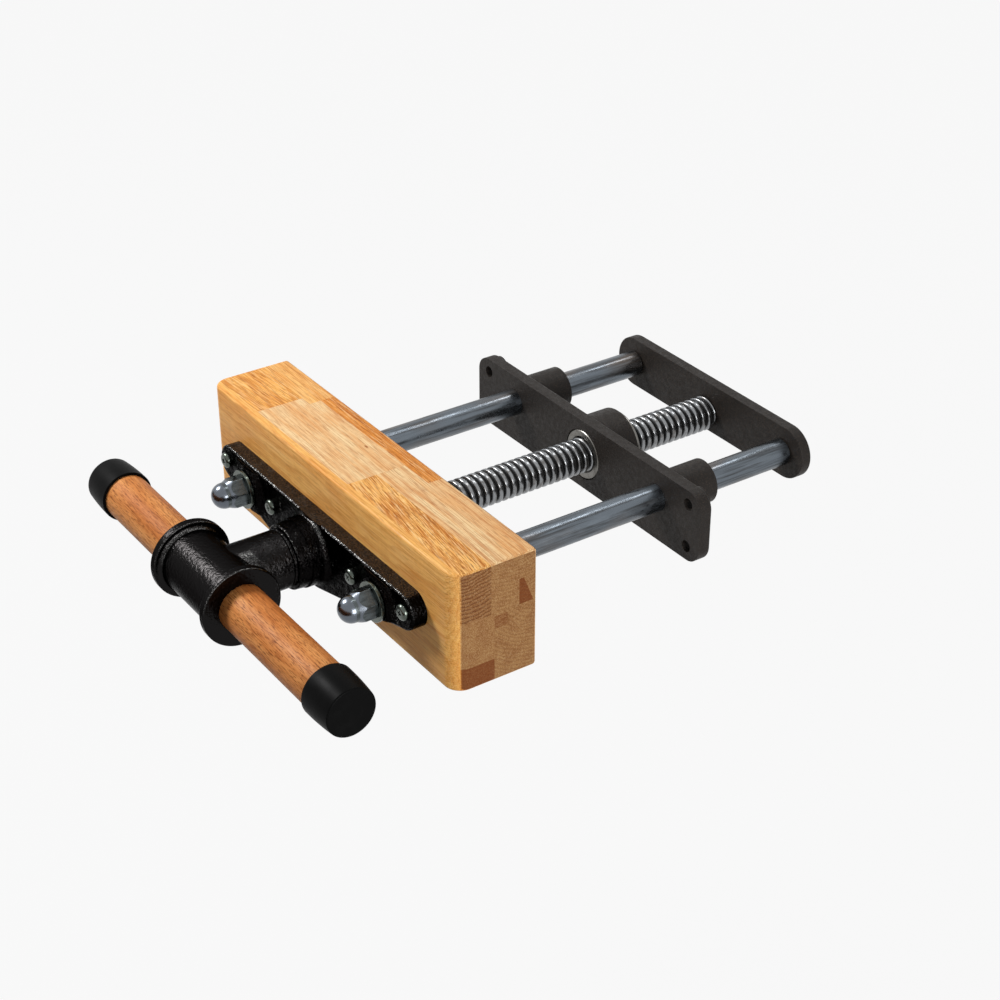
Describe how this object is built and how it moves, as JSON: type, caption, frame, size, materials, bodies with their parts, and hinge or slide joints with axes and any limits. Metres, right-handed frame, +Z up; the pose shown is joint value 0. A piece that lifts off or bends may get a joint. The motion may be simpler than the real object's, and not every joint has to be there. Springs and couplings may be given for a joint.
{
  "type": "bench vise",
  "caption": "Woodworking front vise: a laminated wooden jaw on guide rods and a lead screw, turned by a sliding wooden handle, with a plate that bolts behind a bench apron.",
  "frame": {"origin": "on the lead screw's axis at the face of the rear plate that bears on the back of the bench apron", "axes": "+X along the jaw to the right as seen from the handle, +Y from the handle towards the bench along the screw, +Z up"},
  "size_m": [0.3195, 0.4395, 0.084],
  "materials": {
    "jaw_wood": "satin lacquer over glued staves",
    "handle_wood": "oiled, reddish brown",
    "black_enamel": "gloss black enamel on a casting",
    "black_casting": "satin black paint on rough casting",
    "polished_chrome": "polished",
    "bright_zinc": "bright zinc plating",
    "ground_steel": "ground, lightly scored",
    "screw_steel": "cut thread, oiled",
    "nut_steel": "machined",
    "black_rubber": "smooth, satin"
  },
  "bodies": {
    "bench_bracket": {"rear_plate": "black_casting", "lead_nut": "nut_steel"},
    "moving_jaw": {"jaw": "jaw_wood", "front_plate": "black_enamel", "plate_screw_1": "bright_zinc", "plate_screw_2": "bright_zinc", "plate_screw_3": "bright_zinc", "plate_screw_4": "bright_zinc", "guide_rod_left": "ground_steel", "guide_rod_right": "ground_steel", "rod_washer_left": "bright_zinc", "rod_washer_right": "bright_zinc", "dome_nut_left": "polished_chrome", "dome_nut_right": "polished_chrome", "tie_bar": "black_casting", "tie_washer_left": "bright_zinc", "tie_washer_right": "bright_zinc", "tie_bolt_left": "bright_zinc", "tie_bolt_right": "bright_zinc"},
    "screw_and_hub": {"lead_screw": "screw_steel", "thrust_washer": "black_enamel", "handle_hub": "black_enamel", "hub_pin": "nut_steel"},
    "handle": {"handle_bar": "handle_wood", "handle_cap_left": "black_rubber", "handle_cap_right": "black_rubber"}
  },
  "joints": [
    {"name": "jaw_slide", "type": "slide", "parent": "bench_bracket", "child": "moving_jaw", "axis": [0, 1, 0], "range_m": [-0.07, 0.114]},
    {"name": "screw_spin", "type": "hinge", "parent": "moving_jaw", "child": "screw_and_hub", "pos_m": [0, -0.2856, 0], "axis": [0, 1, 0], "range_deg": [-4581.7, 7461.7]},
    {"name": "handle_slide", "type": "slide", "parent": "screw_and_hub", "child": "handle", "axis": [1, 0, 0], "range_m": [-0.102, 0.089]}
  ],
  "couplings": [
    {"joint": "jaw_slide", "follows": "screw_spin", "m_per_rad": 0.00087535}
  ]
}
